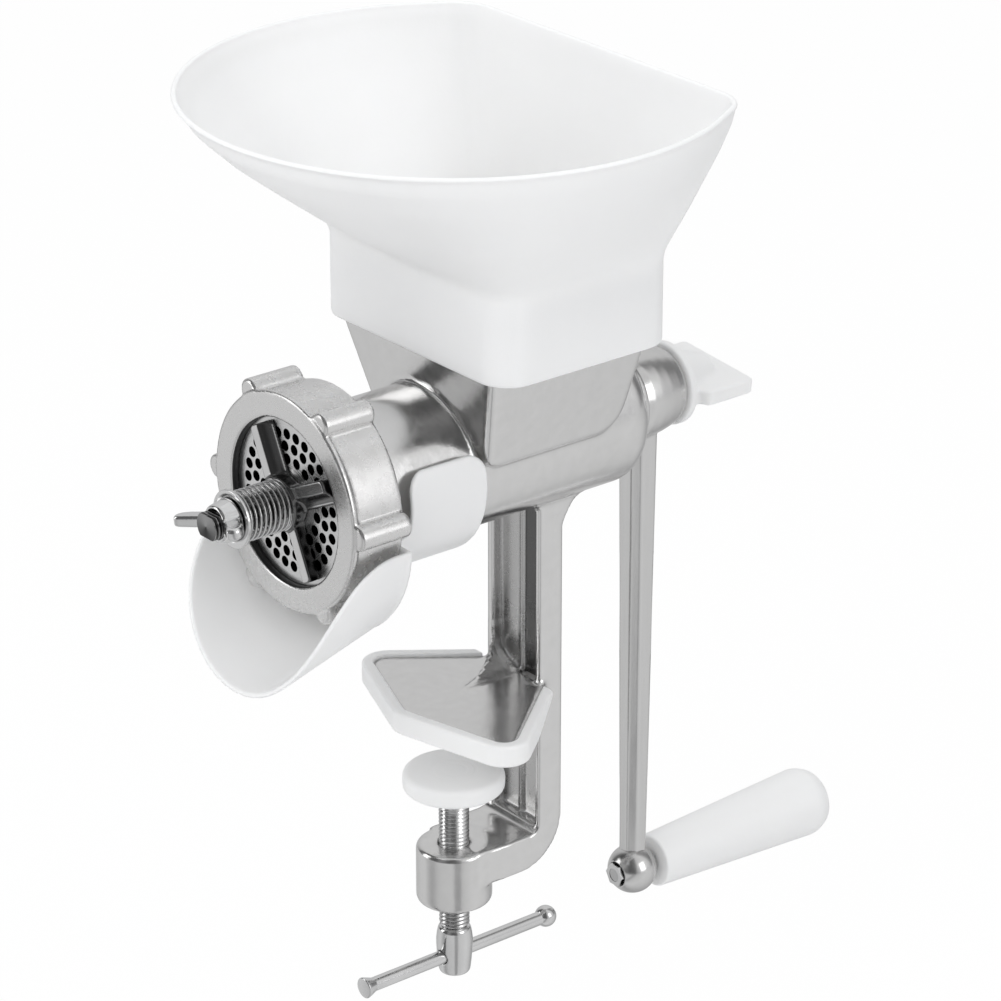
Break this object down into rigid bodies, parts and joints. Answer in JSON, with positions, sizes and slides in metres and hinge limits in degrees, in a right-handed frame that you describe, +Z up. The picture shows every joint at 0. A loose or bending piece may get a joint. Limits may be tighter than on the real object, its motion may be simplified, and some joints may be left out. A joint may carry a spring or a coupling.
{
  "type": "hand-cranked grain and pellet mill",
  "caption": "Table-clamped hand-cranked screw mill with hopper, perforated die, rotating cutter, spring, chute, crank and clamp.",
  "frame": {"origin": "on the clamp screw's axis, in the plane of the jaw's rubbing face", "axes": "+Z up, -Y toward the die and the chute, +Y toward the crank, X across the table's edge"},
  "size_m": [0.216, 0.3249, 0.3857],
  "materials": {
    "cast_aluminium": "polished casting",
    "steel": "turned and polished",
    "tinned_iron": "tinned",
    "spring_steel": "bright drawn wire",
    "plated_steel": "bright zinc or nickel plate",
    "bronze": "turned",
    "nylon": "plain",
    "white_plastic": "moulded white",
    "hopper_plastic": "moulded, slightly translucent white"
  },
  "bodies": {
    "frame": {"body_casting": "cast_aluminium", "rear_bush": "bronze", "thrust_washer": "nylon", "jaw_cap": "white_plastic", "die_plate": "steel", "die_key_pin": "steel", "chute": "hopper_plastic"},
    "ring": {"ring_nut": "cast_aluminium"},
    "drive": {"feed_screw": "tinned_iron", "drive_shaft": "steel", "cross_pin": "steel", "cutter": "steel", "cutter_spring": "spring_steel", "crank_arm": "cast_aluminium", "grip_bolt": "steel", "grip_nut": "steel"},
    "washer": {"spring_washer": "steel"},
    "wing": {"wing_nut": "plated_steel"},
    "thumb_screw": {"thumb_knob": "white_plastic", "thumb_stud": "steel"},
    "grip": {"grip": "white_plastic", "grip_plug": "white_plastic"},
    "hopper": {"hopper": "hopper_plastic"},
    "pad": {"pressure_pad": "white_plastic"},
    "screw": {"clamp_screw": "plated_steel"},
    "bar": {"tommy_bar": "plated_steel", "tommy_bar_cap": "plated_steel"}
  },
  "joints": [
    {"name": "crank_turn", "type": "hinge", "parent": "frame", "child": "drive", "pos_m": [0, 0, 0.115], "axis": [0, 1, 0], "continuous": true},
    {"name": "grip_spin", "type": "hinge", "parent": "drive", "child": "grip", "pos_m": [0, 0.15, -0.105], "axis": [0, 1, 0], "continuous": true},
    {"name": "thumb_turn", "type": "hinge", "parent": "drive", "child": "thumb_screw", "pos_m": [0, 0.12, 0.115], "axis": [0, 1, 0], "continuous": true},
    {"name": "washer_slide", "type": "slide", "parent": "drive", "child": "washer", "axis": [0, 1, 0], "range_m": [-0.0015, 0.0015], "deforming": ["cutter_spring"]},
    {"name": "wing_turn", "type": "hinge", "parent": "washer", "child": "wing", "pos_m": [0, -0.11, 0.115], "axis": [0, 1, 0], "range_deg": [-309, 309]},
    {"name": "ring_turn", "type": "hinge", "parent": "frame", "child": "ring", "pos_m": [0, -0.07, 0.115], "axis": [0, 1, 0], "range_deg": [-6, 6]},
    {"name": "hopper_lift", "type": "slide", "parent": "frame", "child": "hopper", "axis": [0, 0, 1], "range_m": [0, 0.06]},
    {"name": "pad_slide", "type": "slide", "parent": "frame", "child": "pad", "axis": [0, 0, 1], "range_m": [-0.0241, 0.0121]},
    {"name": "screw_turn", "type": "hinge", "parent": "pad", "child": "screw", "pos_m": [0, 0, -0.06], "axis": [0, 0, 1], "range_deg": [-4970, 2496]},
    {"name": "bar_slide", "type": "slide", "parent": "screw", "child": "bar", "axis": [0, 1, 0], "range_m": [-0.033, 0.033]}
  ],
  "couplings": [
    {"joint": "wing_turn", "follows": "washer_slide", "rad_per_m": 3590.4},
    {"joint": "screw_turn", "follows": "pad_slide", "rad_per_m": 3590.4}
  ]
}
